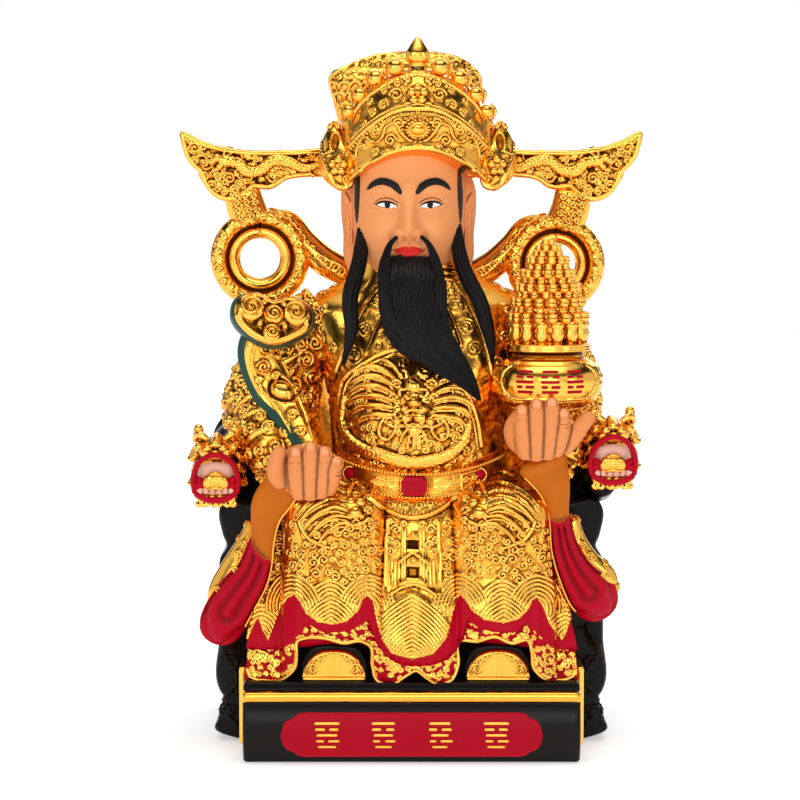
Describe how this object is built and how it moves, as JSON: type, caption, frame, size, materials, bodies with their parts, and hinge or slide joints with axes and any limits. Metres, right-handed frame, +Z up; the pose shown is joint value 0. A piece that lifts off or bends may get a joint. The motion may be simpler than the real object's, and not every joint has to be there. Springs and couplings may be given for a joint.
{
  "type": "seated god-of-wealth figure",
  "caption": "Gold-plated seated court official in a winged hat on a dragon-arm chair, holding a sceptre and a treasure bowl, on a low plinth.",
  "frame": {"origin": "middle of the footprint, on the surface the figure stands on", "axes": "+Z up, the figure faces -Y, +X towards its left hand"},
  "size_m": [0.2682, 0.176, 0.4],
  "materials": {
    "gold_plating": "vacuum-plated bright gold, brown in the hollows",
    "black_lacquer": "satin black paint",
    "red_paint": "satin crimson paint",
    "skin_paint": "matt peach paint",
    "hair_paint": "satin black paint over grooved strands",
    "sleeve_paint": "matt orange paint",
    "green_paint": "satin dark green paint"
  },
  "bodies": {
    "root": {"caishen_statue": "gold_plating", "hat_wing_right": "gold_plating", "hat_wing_left": "gold_plating"}
  },
  "joints": []
}
